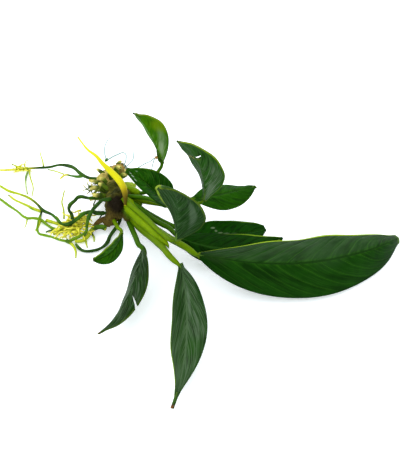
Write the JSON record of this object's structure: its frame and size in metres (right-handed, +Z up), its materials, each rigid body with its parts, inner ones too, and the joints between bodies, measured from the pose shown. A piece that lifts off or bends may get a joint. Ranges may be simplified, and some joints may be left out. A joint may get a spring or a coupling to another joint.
{
  "type": "anubias water plant",
  "caption": "Bare-root broad-leaved water plant lying on a surface, with leathery leaves on round stalks, a thick creeping rhizome, long trailing roots, a pale sheath and a bud.",
  "frame": {"origin": "middle of the plant's outline on the surface that it lies on", "axes": "+X towards the tip of the largest leaf, with the roots trailing to -X, +Y away from the front leaf, +Z up from the surface"},
  "size_m": [0.2128, 0.1549, 0.0691],
  "materials": {
    "leaf_deep": "satin",
    "leaf_grey": "satin",
    "leaf_bright": "satin",
    "stalk_light": "satin",
    "stalk_dark": "satin",
    "rhizome_brown": "matte",
    "sheath_yellow": "satin",
    "bud_green": "satin",
    "root_green": "matte",
    "root_yellow": "matte"
  },
  "bodies": {
    "root": {"rhizome": "rhizome_brown", "sheath": "sheath_yellow", "bud": "bud_green", "leaf_right": "leaf_deep", "leaf_front": "leaf_grey", "leaf_split": "leaf_deep", "leaf_small": "leaf_bright", "leaf_back_left": "leaf_bright", "leaf_back_mid": "leaf_grey", "leaf_back_right": "leaf_deep", "leaf_left": "leaf_deep", "leaf_mid": "leaf_grey", "leaf_far_dark": "leaf_deep", "leaf_near_dark": "leaf_deep", "stalk_right": "stalk_light", "stalk_front": "stalk_light", "stalk_split": "stalk_dark", "stalk_small": "stalk_light", "stalk_mid": "stalk_light", "stalk_near_dark": "stalk_dark", "stalk_far_dark": "stalk_dark", "stalk_left": "stalk_dark", "stalk_back_mid": "stalk_light", "stalk_back_right": "stalk_dark", "stalk_back_left": "stalk_dark", "root_upper": "root_green", "root_upper_fork": "root_yellow", "root_cross": "root_yellow", "root_side": "root_yellow", "root_middle": "root_yellow", "root_bow": "root_green", "root_arch": "root_green", "root_loop": "root_green", "root_brown": "rhizome_brown"}
  },
  "joints": []
}
